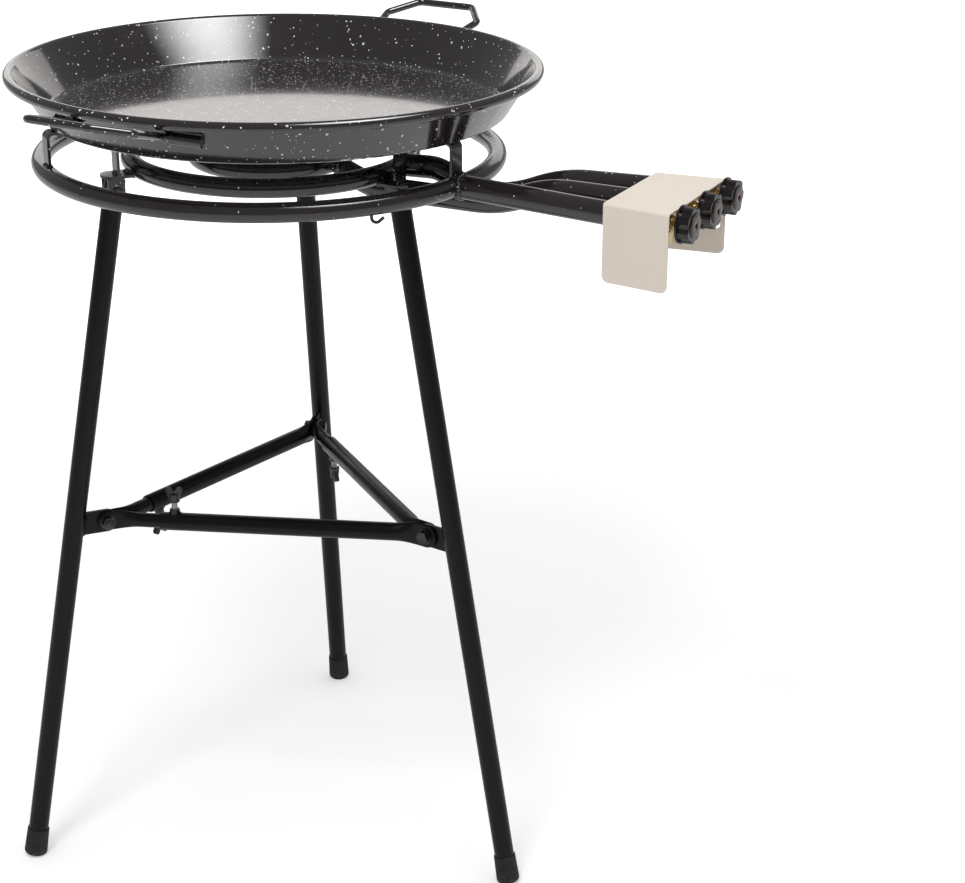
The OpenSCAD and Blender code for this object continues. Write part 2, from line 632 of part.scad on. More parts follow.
// ---- assembly ----
outer_ring();
middle_ring();
inner_ring();
inlet_tube_outer();
inlet_tube_inner();
inlet_tube_middle();
pan_support(1);  // pan_support_1
pan_support(2);  // pan_support_2
pan_support(3);  // pan_support_3
leg_socket(1);  // leg_socket_1
leg_socket(2);  // leg_socket_2
leg_socket(3);  // leg_socket_3
socket_bolts();
leg(1);  // leg_1
leg(2);  // leg_2
leg(3);  // leg_3
leg_tab(1);  // leg_tab_1
leg_tab(2);  // leg_tab_2
leg_tab(3);  // leg_tab_3
foot(1);  // foot_1
foot(2);  // foot_2
foot(3);  // foot_3
brace_sleeve(1, 1, false);  // brace_sleeve_1
brace_sleeve(2, 1, false);  // brace_sleeve_2
brace_sleeve(1, -1, true);  // brace_sleeve_3
brace_rod(2, -1);  // brace_rod_1
brace_rod(3, -1);  // brace_rod_2
brace_rod(3, 1);  // brace_rod_3
brace_bolt(1);  // brace_bolt_1
brace_bolt(2);  // brace_bolt_2
brace_bolt(3);  // brace_bolt_3
clamp_nut(1, 1, false);  // clamp_nut_1
clamp_nut(2, 1, false);  // clamp_nut_2
clamp_nut(1, -1, true);  // clamp_nut_3
wing_screw(1, 1, false);  // wing_screw_1
wing_screw(2, 1, false);  // wing_screw_2
wing_screw(1, -1, true);  // wing_screw_3
pan();
pan_handle(1);  // pan_handle_1
pan_handle(2);  // pan_handle_2
handle_clips(1);  // handle_clips_1
handle_clips(2);  // handle_clips_2
air_collars();
gas_jets();
valve_body(1);  // valve_body_1
valve_body(2);  // valve_body_2
valve_body(3);  // valve_body_3
spindle(1);  // spindle_1
spindle(2);  // spindle_2
spindle(3);  // spindle_3
knob(1);  // knob_1
knob(2);  // knob_2
knob(3);  // knob_3
gas_manifold();
hose_nipple();
heat_shield();
ring_hook();
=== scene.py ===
"""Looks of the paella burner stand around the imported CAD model.

It adds finishes, weld beads, screw threads, crushed brace tubes, handle straps, a floor and lights.
Lengths are in metres.
"""

import json
import math

import bmesh
import bpy
from mathutils import Matrix, Vector, noise

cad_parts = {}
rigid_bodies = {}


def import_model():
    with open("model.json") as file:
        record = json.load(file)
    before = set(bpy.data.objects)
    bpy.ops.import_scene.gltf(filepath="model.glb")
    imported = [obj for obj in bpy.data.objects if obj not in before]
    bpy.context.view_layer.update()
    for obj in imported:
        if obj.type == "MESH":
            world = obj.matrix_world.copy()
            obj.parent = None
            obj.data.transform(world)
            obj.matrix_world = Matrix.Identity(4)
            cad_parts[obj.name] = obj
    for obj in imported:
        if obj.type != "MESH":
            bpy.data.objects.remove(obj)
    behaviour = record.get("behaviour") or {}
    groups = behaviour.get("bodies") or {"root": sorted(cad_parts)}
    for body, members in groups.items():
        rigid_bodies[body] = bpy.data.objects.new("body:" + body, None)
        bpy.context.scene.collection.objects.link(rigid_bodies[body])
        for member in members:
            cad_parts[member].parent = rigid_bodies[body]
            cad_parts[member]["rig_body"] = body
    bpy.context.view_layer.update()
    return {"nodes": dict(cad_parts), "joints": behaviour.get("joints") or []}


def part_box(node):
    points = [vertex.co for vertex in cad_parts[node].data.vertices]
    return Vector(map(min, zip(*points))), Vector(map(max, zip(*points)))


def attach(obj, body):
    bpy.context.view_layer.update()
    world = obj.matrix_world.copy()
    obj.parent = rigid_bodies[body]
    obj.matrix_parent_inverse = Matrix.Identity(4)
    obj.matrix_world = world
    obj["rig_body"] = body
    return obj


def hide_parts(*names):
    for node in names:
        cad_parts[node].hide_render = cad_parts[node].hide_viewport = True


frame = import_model()
NODES = frame["nodes"]
SCENE = bpy.context.scene

# ---- camera: the photograph's viewing angle ----
IMAGE_W, FOCAL_PX, SENSOR_W = 965, 2159.1, 36
CAMERA_AT = (1.2155, -1.9275, 1.3488)
LOOK_AZIMUTH, LOOK_DOWN, ROLL = math.radians(115.71), math.radians(24.43), 0.0096
SHIFT = (-0.03, 0.12)


def make_camera():
    look = Vector((math.cos(LOOK_DOWN) * math.cos(LOOK_AZIMUTH),
                   math.cos(LOOK_DOWN) * math.sin(LOOK_AZIMUTH),
                   -math.sin(LOOK_DOWN)))
    level = Vector((math.sin(LOOK_AZIMUTH), -math.cos(LOOK_AZIMUTH), 0))
    upward = level.cross(look)
    right = level * math.cos(ROLL) + upward * math.sin(ROLL)
    up = upward * math.cos(ROLL) - level * math.sin(ROLL)
    data = bpy.data.cameras.new("camera")
    data.sensor_width = SENSOR_W
    data.lens = FOCAL_PX / IMAGE_W * SENSOR_W
    data.shift_x, data.shift_y = SHIFT
    camera = bpy.data.objects.new("camera", data)
    camera.matrix_world = Matrix.Translation(CAMERA_AT) @ Matrix((right, up, -look)).transposed().to_4x4()
    SCENE.collection.objects.link(camera)
    SCENE.camera = camera


make_camera()


# ---- material building ----
class Nodes:
    """A short way to build one material's node tree."""

    def __init__(self, name):
        self.material = bpy.data.materials.new(name)
        self.material.use_nodes = True
        self.tree = self.material.node_tree
        self.shader = self.tree.nodes["Principled BSDF"]
        self.position = self.make("ShaderNodeTexCoord").outputs["Object"]

    def make(self, kind, links=None, **values):
        node = self.tree.nodes.new(kind)
        for key, value in values.items():
            setattr(node, key, value)
        for socket, value in (links or {}).items():
            self.put(node.inputs[socket], value)
        return node

    def put(self, socket, value):
        if isinstance(value, bpy.types.NodeSocket):
            self.tree.links.new(value, socket)
        else:
            socket.default_value = value

    def set(self, **values):
        for key, value in values.items():
            self.put(self.shader.inputs[key.replace("_", " ")], value)
        return self

    def noise(self, scale, detail=2.0, roughness=0.5):
        links = {"Vector": self.position, "Scale": scale, "Detail": detail, "Roughness": roughness}
        return self.make("ShaderNodeTexNoise", links).outputs["Fac"]

    def spots(self, scale):
        """Distance to the nearest of scattered points, scale of them to a metre."""
        links = {"Vector": self.position, "Scale": scale}
        return self.make("ShaderNodeTexVoronoi", links).outputs["Distance"]

    def ramp(self, value, low, high, out_low=0.0, out_high=1.0):
        links = {"Value": value, "From Min": low, "From Max": high, "To Min": out_low, "To Max": out_high}
        return self.make("ShaderNodeMapRange", links).outputs["Result"]

    def math(self, operation, a, b=0.0):
        return self.make("ShaderNodeMath", {0: a, 1: b}, operation=operation).outputs[0]

    def mix(self, factor, a, b):
        node = self.make("ShaderNodeMix", data_type="RGBA")
        self.put(node.inputs["Factor"], factor)
        self.put(node.inputs["A"], a)
        self.put(node.inputs["B"], b)
        return node.outputs["Result"]

    def bump(self, height, strength, distance):
        node = self.make("ShaderNodeBump", {"Height": height, "Strength": strength, "Distance": distance})
        self.put(self.shader.inputs["Normal"], node.outputs["Normal"])
        return self


def rgb(r, g, b):
    return (r, g, b, 1.0)


WOBBLE_SCALE, WOBBLE_REACH, SMALLEST_DOT = 2.2, 0.5, 0.45  # in cells, cells and shares of the largest dot
# the grey of the pan's bottom is partly worn dust and partly a painted reflection of the wall highlight
ENAMEL_BLACK, DUST_AND_PAINTED_SHEEN = (0.0092, 0.0072, 0.0078), (0.042, 0.039, 0.041)
FLOOR_TOP, DUST_AND_SHEEN_END, FLOOR_END = 0.0015, 0.006, 0.009  # heights over the pan's underside


def speckles(n, scale, share, size):
    """Mask of irregular round dots: scale cells per metre, a share of them filled, size in cell widths."""
    links = {"Vector": n.position, "Scale": scale * WOBBLE_SCALE, "Detail": 1.0}
    wobble = n.make("ShaderNodeTexNoise", links)
    shift = n.make("ShaderNodeVectorMath", {0: wobble.outputs["Color"], 1: (0.5, 0.5, 0.5)},
                   operation="SUBTRACT").outputs[0]
    moved = n.make("ShaderNodeVectorMath", {0: shift, "Scale": WOBBLE_REACH / scale},
                   operation="SCALE").outputs[0]
    at = n.make("ShaderNodeVectorMath", {0: n.position, 1: moved}, operation="ADD").outputs[0]
    cell = n.make("ShaderNodeTexVoronoi", {"Vector": at, "Scale": scale})
    tint = n.make("ShaderNodeSeparateColor", {"Color": cell.outputs["Color"]})
    radius = n.ramp(tint.outputs["Green"], 0.0, 1.0, size * SMALLEST_DOT, size)
    dot = n.math("LESS_THAN", cell.outputs["Distance"], radius)
    filled = n.math("LESS_THAN", tint.outputs["Red"], share)
    return n.math("MULTIPLY", dot, filled)


def enamel(name, dots, roughness=0.13, coat=0.9, floor_z=None):
    """Glossy vitreous enamel: near black with white speckles.

    Each set of dots is (scale, share on walls, size, share on the flat bottom). floor_z is the height of
    that bottom, which is greyed: partly worn dust, partly a painted reflection of the wall's highlight.
    """
    n = Nodes(name)
    height = n.make("ShaderNodeSeparateXYZ", {"Vector": n.position}).outputs["Z"]
    mask = 0.0
    for scale, share, size, floor_share in dots:
        if floor_z is not None:
            share = n.ramp(height, floor_z + FLOOR_TOP, floor_z + FLOOR_END, floor_share, share)
        mask = n.math("MAXIMUM", speckles(n, scale, share, size), mask)
    r, g, b = ENAMEL_BLACK
    dark = n.mix(n.noise(9.0, 3.0), rgb(r, g, b), rgb(r * 2.0, g * 1.8, b * 1.8))
    if floor_z is not None:
        # painted reflection: greys the pan's bottom, partly as worn dust, partly standing in for the wall
        # highlight's reflection
        dust_and_painted_sheen = n.math("MULTIPLY", n.ramp(height, floor_z + FLOOR_TOP, floor_z + DUST_AND_SHEEN_END, 1.0, 0.0),
                      n.ramp(n.noise(700.0, 2.0), 0.35, 0.7, 0.25, 1.0))
        dark = n.mix(dust_and_painted_sheen, dark, rgb(*DUST_AND_PAINTED_SHEEN))
    tone = n.ramp(n.noise(55.0, 1.0), 0.3, 0.7)
    n.set(Base_Color=n.mix(mask, dark, n.mix(tone, rgb(0.70, 0.66, 0.60), rgb(0.90, 0.88, 0.85))))
    n.set(Roughness=n.ramp(n.noise(30.0, 4.0), 0.3, 0.7, roughness * 0.8, roughness * 1.3))
    n.set(Coat_Weight=coat, Coat_Roughness=0.06, Specular_IOR_Level=0.62)
    ripple = n.noise(120.0, 2.0)
    return n.bump(n.math("ADD", ripple, n.math("MULTIPLY", mask, 0.6)), 0.10, 0.0004).material


def satin_paint(name):
    """Satin black paint on steel tube, with a fine orange-peel skin and a few duller patches."""
    n = Nodes(name)
    n.set(Base_Color=n.mix(n.noise(14.0, 4.0), rgb(0.0030, 0.0028, 0.0026), rgb(0.0062, 0.0056, 0.0050)))
    n.set(Roughness=n.ramp(n.noise(45.0, 5.0, 0.6), 0.3, 0.7, 0.24, 0.36), Specular_IOR_Level=0.22)
    return n.bump(n.noise(900.0, 2.0), 0.12, 0.0003).material


def rubber(name):
    """Matt black rubber with moulding grain and scuffed dust near the floor."""
    n = Nodes(name)
    height = n.make("ShaderNodeSeparateXYZ", {"Vector": n.position}).outputs["Z"]
    near_floor = n.ramp(height, 0.0, 0.012, 1.0, 0.0)
    scuff = n.math("MULTIPLY", near_floor, n.ramp(n.noise(260.0, 4.0), 0.45, 0.65))
    n.set(Base_Color=n.mix(scuff, rgb(0.010, 0.010, 0.010), rgb(0.055, 0.052, 0.048)))
    n.set(Roughness=n.ramp(n.noise(150.0, 3.0), 0.3, 0.7, 0.62, 0.82))
    return n.bump(n.noise(1400.0, 3.0), 0.25, 0.0003).material


def turned_metal(name, bright, dull, roughness):
    """Machined metal with a clouded tarnish and fine tool marks."""
    n = Nodes(name)
    tarnish = n.ramp(n.noise(70.0, 5.0, 0.6), 0.4, 0.7)
    n.set(Base_Color=n.mix(tarnish, rgb(*bright), rgb(*dull)), Metallic=1.0)
    n.set(Roughness=n.ramp(tarnish, 0.0, 1.0, roughness, roughness + 0.18))
    return n.bump(n.noise(2200.0, 1.0), 0.15, 0.0002).material


def phenolic(name):
    """Polished black moulding with faint flow clouds."""
    n = Nodes(name)
    n.set(Base_Color=n.mix(n.noise(60.0, 3.0), rgb(0.0030, 0.0026, 0.0026), rgb(0.0085, 0.0055, 0.0048)))
    n.set(Roughness=n.ramp(n.noise(200.0, 3.0), 0.3, 0.7, 0.09, 0.17), Coat_Weight=0.2)
    return n.bump(n.noise(500.0, 2.0), 0.06, 0.0003).material


def brown_inlay(name):
    """Reddish-brown phenolic cap with marbled flow and a polished skin."""
    n = Nodes(name)
    flow = n.noise(n.ramp(n.noise(80.0, 2.0), 0.0, 1.0, 240.0, 420.0), 3.0)
    n.set(Base_Color=n.mix(flow, rgb(0.022, 0.009, 0.006), rgb(0.075, 0.028, 0.016)))
    n.set(Roughness=n.ramp(n.noise(300.0, 3.0), 0.3, 0.7, 0.14, 0.26), Coat_Weight=0.3)
    return n.bump(n.noise(700.0, 2.0), 0.06, 0.0002).material


def cream_paint(name):
    """Cream powder coat with a fine pebble skin and faint marks."""
    n = Nodes(name)
    cloud = n.mix(n.noise(25.0, 4.0), rgb(0.70, 0.62, 0.54), rgb(0.74, 0.66, 0.58))
    marks = n.ramp(n.spots(60.0), 0.02, 0.035, 0.35, 0.0)
    n.set(Base_Color=n.mix(marks, cloud, rgb(0.45, 0.40, 0.34)))
    n.set(Roughness=n.ramp(n.noise(110.0, 3.0), 0.3, 0.7, 0.38, 0.5))
    return n.bump(n.noise(1500.0, 2.0), 0.15, 0.0002).material


PAN_FLOOR_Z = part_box("pan")[0].z
# sets of dots: (cells per metre, share filled on walls, size, share filled on the pan's floor)
SPECKLED = {
    "pan": [(300.0, 0.10, 0.23, 0.42), (190.0, 0.22, 0.22, 0.62), (125.0, 0.34, 0.16, 0.42)],
    "rings": [(150.0, 0.10, 0.15, 0.0), (260.0, 0.08, 0.20, 0.0)],
}
MATERIALS = {
    "pan": enamel("pan_enamel", SPECKLED["pan"], floor_z=PAN_FLOOR_Z),
    "rings": enamel("ring_enamel", SPECKLED["rings"], roughness=0.14, coat=0.45),
    "satin_black": satin_paint("satin_black_paint"),
    "rubber": rubber("black_rubber"),
    "brass": turned_metal("turned_brass", (0.78, 0.58, 0.27), (0.50, 0.35, 0.15), 0.22),
    "steel": turned_metal("zinc_steel", (0.62, 0.61, 0.58), (0.40, 0.38, 0.35), 0.28),
    "dark_steel": turned_metal("blackened_steel", (0.10, 0.095, 0.09), (0.045, 0.042, 0.04), 0.42),
    "bakelite": phenolic("black_phenolic"),
    "brown": brown_inlay("brown_phenolic"),
    "cream": cream_paint("cream_powder_coat"),
}
# the first entry that a node's name starts with gives its finish
FINISH_BY_NAME = [
    ("pan_support", "rings"), ("pan", "pan"), ("handle_clips", "pan"), ("outer_ring", "rings"),
    ("middle_ring", "rings"), ("inner_ring", "rings"), ("inlet", "rings"), ("leg_socket", "rings"),
    ("socket_bolts", "dark_steel"), ("leg", "satin_black"), ("brace_bolt", "dark_steel"),
    ("brace", "satin_black"), ("clamp_nut", "dark_steel"), ("wing_screw", "dark_steel"),
    ("foot", "rubber"), ("air_collars", "steel"), ("gas", "brass"), ("valve", "brass"),
    ("spindle", "brass"), ("hose", "brass"), ("knob", "bakelite"), ("heat_shield", "cream"),
    ("ring_hook", "dark_steel"),
]


def finish_cad_nodes():
    for name, node in NODES.items():
        finish = next(f for start, f in FINISH_BY_NAME if name.startswith(start))
        node.data.materials.clear()
        node.data.materials.append(MATERIALS[finish])


finish_cad_nodes()


# ---- places taken from the frame ----
JOINTS = {j["name"]: j for j in frame["joints"]}
UP = Vector((0, 0, 1))
GROUPS = (1, 2, 3)


def joint_at(name):
    return Vector(JOINTS[name]["pos_m"])


def body_of(node):
    return NODES[node]["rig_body"]


def pipe_ring(name):
    """(radius of a burner ring's centre line, radius of its pipe)."""
    low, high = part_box(name)
    pipe = (high.z - low.z) / 2
    return (high.x - low.x) / 2 - pipe, pipe


RING_Z = sum(corner.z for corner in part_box("outer_ring")) / 2
OUTER, MIDDLE, INNER = (pipe_ring(name) for name in ("outer_ring", "middle_ring", "inner_ring"))
KNOB = {k: joint_at(f"knob_{k}_turn") for k in GROUPS}
INLET_R = (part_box("inlet_tube_outer")[1].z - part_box("inlet_tube_outer")[0].z) / 2
RAY_TURN = math.radians(7.5)  # between neighbouring inlet tubes
SUPPORT_T, PLATE_T, TAB_T = 0.003, 0.003, 0.003  # sheet of the pan supports, sockets and brace tabs
PLATE_TOP, TAB_REACH = -0.006, 0.036  # plate over the ring plane, and brace bolt to the leg's axis
BEAD_R = {"inlet_outer": 0.0030, "inlet_inner": 0.0022, "support_outer": 0.0019, "support_inner": 0.0016,
          "socket": 0.0018, "tab": 0.0021, "clamp_nut": 0.0011}


def side_of_leg(k):
    """(outward, sideways) unit vectors of leg k."""
    outward = joint_at(f"leg_{k}_splay").copy()
    outward.z = 0
    outward.normalize()
    return outward, UP.cross(outward)


# ---- small pieces of mesh ----
CRISP_EDGE = math.radians(35)
WELD_SIDES, WELD_STEP, WELD_RIPPLE = 10, 0.0007, 0.0031
RIPPLE_DEPTH, LUMP_DEPTH, LUMPS = 0.16, 0.22, 210  # shares of the bead's radius, and lumps to a metre
BEAD_TIP, BEAD_TAPER = 0.35, 0.6  # how a bead starts and ends: share of its radius, and how fast it grows
RUN = [i / 12 - 1 for i in range(25)]  # places along a straight bead, from one end to the other


def piece(name, points, faces, finish, body, slot):
    mesh = bpy.data.meshes.new(name)
    mesh.from_pydata(points, [], faces)
    mesh.polygons.foreach_set("use_smooth", [True] * len(mesh.polygons))
    mesh.update()
    obj = bpy.data.objects.new(name, mesh)
    SCENE.collection.objects.link(obj)
    obj.data.materials.append(MATERIALS[finish])
    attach(obj, body)
    return obj


def sharpen(obj):
    """Keeps the steeper edges of a smooth-shaded piece crisp."""
    obj.data.set_sharp_from_angle(angle=CRISP_EDGE)


def tube_mesh(rings, closed):
    """Points and faces of a skin over equal rings of points, with end caps unless it is closed."""
    n, sides = len(rings), len(rings[0])
    points = [q for ring in rings for q in ring]
    faces = []
    for i in range(n if closed else n - 1):
        a, b = i * sides, (i + 1) % n * sides
        for j in range(sides):
            e = (j + 1) % sides
            faces.append((a + j, a + e, b + e, b + j))
    if not closed:
        faces.append(tuple(range(sides))[::-1])
        faces.append(tuple(range((n - 1) * sides, n * sides)))
    return points, faces


def evenly(path, step, closed):
    """The path again, with a point every step along it."""
    ends = path + path[:1] if closed else path
    out, carry = [], 0.0
    for a, b in zip(ends, ends[1:]):
        length = (b - a).length
        while carry < length:
            out.append(a.lerp(b, carry / length))
            carry += step
        carry -= length
    return out


def weld(name, path, radius, body="burner", closed=False, finish="rings", slot="enamel"):
    """A run of weld bead along a path: a rippled, slightly uneven ridge."""
    path = evenly(path, WELD_STEP, closed)
    n = len(path)
    rings = []
    for i, at in enumerate(path):
        before = path[(i - 1) % n] if closed or i else path[i]
        after = path[(i + 1) % n] if closed or i < n - 1 else path[i]
        along = (after - before).normalized()
        across = along.cross(UP if abs(along.z) < 0.9 else Vector((1, 0, 0))).normalized()
        over = along.cross(across)
        wave = RIPPLE_DEPTH * math.sin(math.tau * i * WELD_STEP / WELD_RIPPLE)
        lump = 1 + wave + LUMP_DEPTH * noise.noise(at * LUMPS)
        ends = 1 if closed else min(1.0, BEAD_TIP + min(i, n - 1 - i) * WELD_STEP / radius * BEAD_TAPER)
        r = radius * lump * ends
        rings.append([at + (across * math.cos(t) + over * math.sin(t)) * r
                      for t in (math.tau * j / WELD_SIDES for j in range(WELD_SIDES))])
    piece(name, *tube_mesh(rings, closed), finish, body, slot)


LEAST_OUT, SEAM_SINK, SEAM_TOP = 0.0058, 0.92, 0.8  # how an inlet's bead keeps off and sinks into the ring


def inlet_weld(label, k, ring):
    """Bead round the end of the inlet tube in place k, where it meets a burner ring."""
    (centre_r, pipe), turn = ring, (k - 2) * RAY_TURN
    ray = Vector((math.cos(turn), math.sin(turn), 0))
    side = UP.cross(ray)
    path = []
    for i in range(72):
        t = math.tau * i / 72
        y, z = INLET_R * math.cos(t), INLET_R * math.sin(t)
        chord = math.sqrt(max(pipe ** 2 - z ** 2, 0))
        out = max(math.sqrt((centre_r + chord) ** 2 - y ** 2), centre_r + LEAST_OUT)
        sink = SEAM_SINK if abs(z) > SEAM_TOP * pipe else 1.0
        path.append(ray * out + side * y + UP * (RING_Z + z * sink))
    weld(f"weld_{label}", path, BEAD_R[label], closed=True)


def extent(node, along):
    """(least, greatest) distance of a CAD node's points along a direction."""
    reach = [along.dot(v.co) for v in NODES[node].data.vertices]
    return min(reach), max(reach)


def ray_of(node):
    """Level unit vector from the burner's axis to the middle of a node."""
    low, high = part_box(node)
    ray = (low + high) / 2
    ray.z = 0
    return ray.normalized()


def on_ring(ring, at, lift):
    """The point of a burner ring's upper skin above a place, raised by lift."""
    off = math.hypot(at.x, at.y) - ring[0]
    return Vector((at.x, at.y, RING_Z + math.sqrt(max(ring[1] ** 2 - off ** 2, 0)) + lift))


def support_welds(k):
    """Beads on both faces of each foot of a pan support."""
    node = f"pan_support_{k}"
    ray = ray_of(node)
    side = UP.cross(ray)
    half = extent(node, side)[1] * 0.95
    inner, outer = extent(node, ray)
    steps = [half * t for t in RUN]
    gap = 0.0005
    for label, r in (("outside", outer + gap), ("inside", outer - SUPPORT_T - gap)):
        path = [on_ring(OUTER, ray * r + side * y, 0.0002) for y in steps]
        weld(f"weld_support_{k}_{label}", path, BEAD_R["support_outer"])
    gap = 0.0003
    for label, r in (("inner_a", inner - gap), ("inner_b", inner + SUPPORT_T + gap)):
        path = [ray * r + side * y + UP * (RING_Z + PLATE_TOP + gap) for y in steps]
        weld(f"weld_support_{k}_{label}", path, BEAD_R["support_inner"])


def socket_welds(k):
    """Bead where a socket's plate meets the middle ring, above and below."""
    ray, side = side_of_leg(k)
    half = extent(f"leg_socket_{k}", side)[1] * 0.9
    for label, z in (("top", PLATE_TOP), ("under", PLATE_TOP - PLATE_T)):
        r = MIDDLE[0] + math.sqrt(MIDDLE[1] ** 2 - z ** 2)
        path = [(ray * math.cos(turn) + side * math.sin(turn)) * r + UP * (RING_Z + z)
                for turn in (half * t / r for t in RUN)]
        weld(f"weld_socket_{k}_{label}", path, BEAD_R["socket"])


def tab_welds(k):
    """Beads down both faces of a brace tab where it meets the leg."""
    outward, sideways = side_of_leg(k)
    corner = joint_at(f"brace_corner_{k}_turn")
    low, high = extent(f"leg_tab_{k}", UP)
    left, right = extent(f"leg_{k}", sideways)
    leg_r = (right - left) / 2
    along = (joint_at(f"leg_{k}_splay") - corner - outward * TAB_REACH).normalized()
    normal = sideways.cross(along)
    normal *= -1 if normal.dot(outward) > 0 else 1
    tall = (high - low) / 2 - 0.001
    for side, label in ((-1, "left"), (1, "right")):
        start = corner + outward * TAB_REACH + sideways * side * (TAB_T / 2 + 0.0004)
        start += normal * math.sqrt(leg_r ** 2 - (TAB_T / 2) ** 2)
        path = [start + along * tall * t for t in RUN]
        weld(f"weld_tab_{k}_{label}", path, BEAD_R["tab"], body_of(f"leg_{k}"), finish="satin_black",
             slot="satin_black")


THREAD_DEPTH = 0.32  # in pitches


def thread(name, start, along, length, radius, pitch, finish, body, slot):
    """Screw thread: a ridge that winds along a shank."""
    across = along.orthogonal().normalized()
    over = along.cross(across)
    sides, step = 30, pitch / 6
    rings = []
    for i in range(int(length / step) + 1):
        ring = []
        for j in range(sides):
            crest = abs((i * step / pitch - j / sides) % 1.0 * 2 - 1)
            r = radius + pitch * THREAD_DEPTH * crest
            t = math.tau * j / sides
            ring.append(start + along * i * step + (across * math.cos(t) + over * math.sin(t)) * r)
        rings.append(ring)
    piece(name, *tube_mesh(rings, False), finish, body, slot)


def lathe(name, centre, along, profile, finish, body, slot):
    """A closed outline of (radius, height) points spun round an axis."""
    sides = 72
    across = along.orthogonal().normalized()
    over = along.cross(across)
    rings = []
    for i in range(sides):
        t = math.tau * i / sides
        spoke = across * math.cos(t) + over * math.sin(t)
        rings.append([centre + spoke * r + along * h for r, h in profile])
    sharpen(piece(name, *tube_mesh(rings, True), finish, body, slot))


KNOB_CAP = [(0.0027, -0.0004), (0.0027, 0.0001), (0.0034, 0.00035), (0.0062, 0.0005), (0.0092, 0.0004),
            (0.0103, 0.0001), (0.0105, -0.0004)]  # (radius, height over the knob's front)


def knob_face(k):
    """Brown cap set in the front of a knob, round its dimple."""
    along = Vector(JOINTS[f"knob_{k}_turn"]["axis"]).normalized()
    front = extent(f"knob_{k}", along)[1]
    centre = KNOB[k] + along * (front - KNOB[k].dot(along))
    lathe(f"knob_face_{k}", centre, along, KNOB_CAP, "brown", body_of(f"knob_{k}"), "bakelite")


# ---- pressed straps over the handle wires ----
RIM_R, HANDLE_H, HANDLE_TILT = 0.2755, 0.0323, math.radians(15.5)
HANDLE_AZIMUTH, WALL_LEAN = math.radians(-92.8), math.radians(32.69)
FOOT_AT, FOOT_TURN = (-0.0127, 0.049), math.radians(108.78)  # start and direction of a handle's foot
STRAP_FROM, STRAP_TO, STRAP_STEPS = 0.009, 0.040, 14  # along that foot
STRAP_R, STRAP_SHEET, WIRE_TO_WALL = 0.00545, 0.0013, 0.0047
FLANGE, FLANGE_ROUND, MOUTH_SWELL = 0.0098, 0.0028, 0.0007  # half width, and what its ends lose and gain


def strap_outline(swell, flange):
    """Section of a strap as (along the wall, towards the wall) points.

    It runs over one flange, the hump over the wire and the other flange, and back along the inner face.
    """
    outline = []
    outer_r = STRAP_R + swell
    for r, foot in ((outer_r, WIRE_TO_WALL - STRAP_SHEET), (outer_r - STRAP_SHEET, WIRE_TO_WALL)):
        side = [(flange, foot), (r + 0.0015, foot), (r + 0.0005, foot - 0.0004), (r, foot - 0.0014)]
        hump = [(r * math.cos(math.pi * i / 16), -r * math.sin(math.pi * i / 16)) for i in range(17)]
        line = side + hump + [(-u, w) for u, w in reversed(side)]
        outline += line[::-1] if outline else line
    return outline


def strap_rings(hand):
    """Sections of one strap as (outward, sideways, up) points from the middle of the pan's bottom."""
    lean = WALL_LEAN + HANDLE_TILT
    rings = []
    for i in range(STRAP_STEPS + 1):
        along = STRAP_FROM + (STRAP_TO - STRAP_FROM) * i / STRAP_STEPS
        end = max(1 - min(i, STRAP_STEPS - i) / 2, 0.0)
        ring = []
        for u, w in strap_outline(MOUTH_SWELL * end, FLANGE - FLANGE_ROUND * end ** 2):
            inward = w * math.cos(lean) - u * math.sin(lean)
            up = w * math.sin(lean) + u * math.cos(lean)
            x = FOOT_AT[0] + along * math.cos(FOOT_TURN) - inward * math.sin(FOOT_TURN)
            y = FOOT_AT[1] + along * math.sin(FOOT_TURN) + inward * math.cos(FOOT_TURN)
            ring.append((RIM_R + x * math.cos(HANDLE_TILT) - up * math.sin(HANDLE_TILT), hand * y,
                         HANDLE_H + x * math.sin(HANDLE_TILT) + up * math.cos(HANDLE_TILT)))
        rings.append(ring)
    return rings


def handle_straps(k):
    """The two straps that hold handle k to the pan wall."""
    low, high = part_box("pan")
    centre = Vector(((low.x + high.x) / 2, (low.y + high.y) / 2, low.z))
    turn = HANDLE_AZIMUTH + math.pi * (k - 1)
    radial = Vector((math.cos(turn), math.sin(turn), 0))
    level = UP.cross(radial)
    points, faces = [], []
    for hand in (1, -1):
        rings = [[centre + radial * x + level * y + UP * z for x, y, z in ring]
                 for ring in strap_rings(hand)]
        new_points, new_faces = tube_mesh(rings, False)
        for face in new_faces:
            faces.append(tuple(j + len(points) for j in face)[::hand])
        points += new_points
    obj = piece(f"handle_straps_{k}", points, faces, "pan", body_of(f"handle_clips_{k}"), "enamel")
    sharpen(obj)
    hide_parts(f"handle_clips_{k}")


for group in (1, 2):
    handle_straps(group)
inlet_weld("inlet_outer", 1, OUTER)
inlet_weld("inlet_inner", 2, INNER)
for group in GROUPS:
    support_welds(group)
    socket_welds(group)
    tab_welds(group)
    knob_face(group)


# ---- crushed brace tubes ----
TONGUE_T, TONGUE_OUT, TONGUE_LEN, NECK = 0.0034, 0.0035, 0.016, 0.024
TUBE_WALL, BRACE_TURN, BEND_CUT = 0.0015, math.radians(30), 0.009
SLEEVE_D, ROD_D, HOLE_D = 0.020, 0.016, 0.0082
CLAMP_TO_END, ROD_LEN = 0.016, 0.1544
SPREAD, WIDEST = 1.35, 0.027  # height of the crushed end in tube diameters, and its limit
CRUSH_START, BORE_START, END_BEVEL = 0.55, 0.008, 0.0008  # share of the tongue; past the neck; at the rim
TUBE_SIDES, TIP_STEPS, NECK_STEPS = 48, 8, 22
CLAMP_WELD_R, THREAD_R, THREAD_PITCH, THREAD_FROM, THREAD_LEN = 0.0060, 0.00302, 0.001, 0.0049, 0.0092


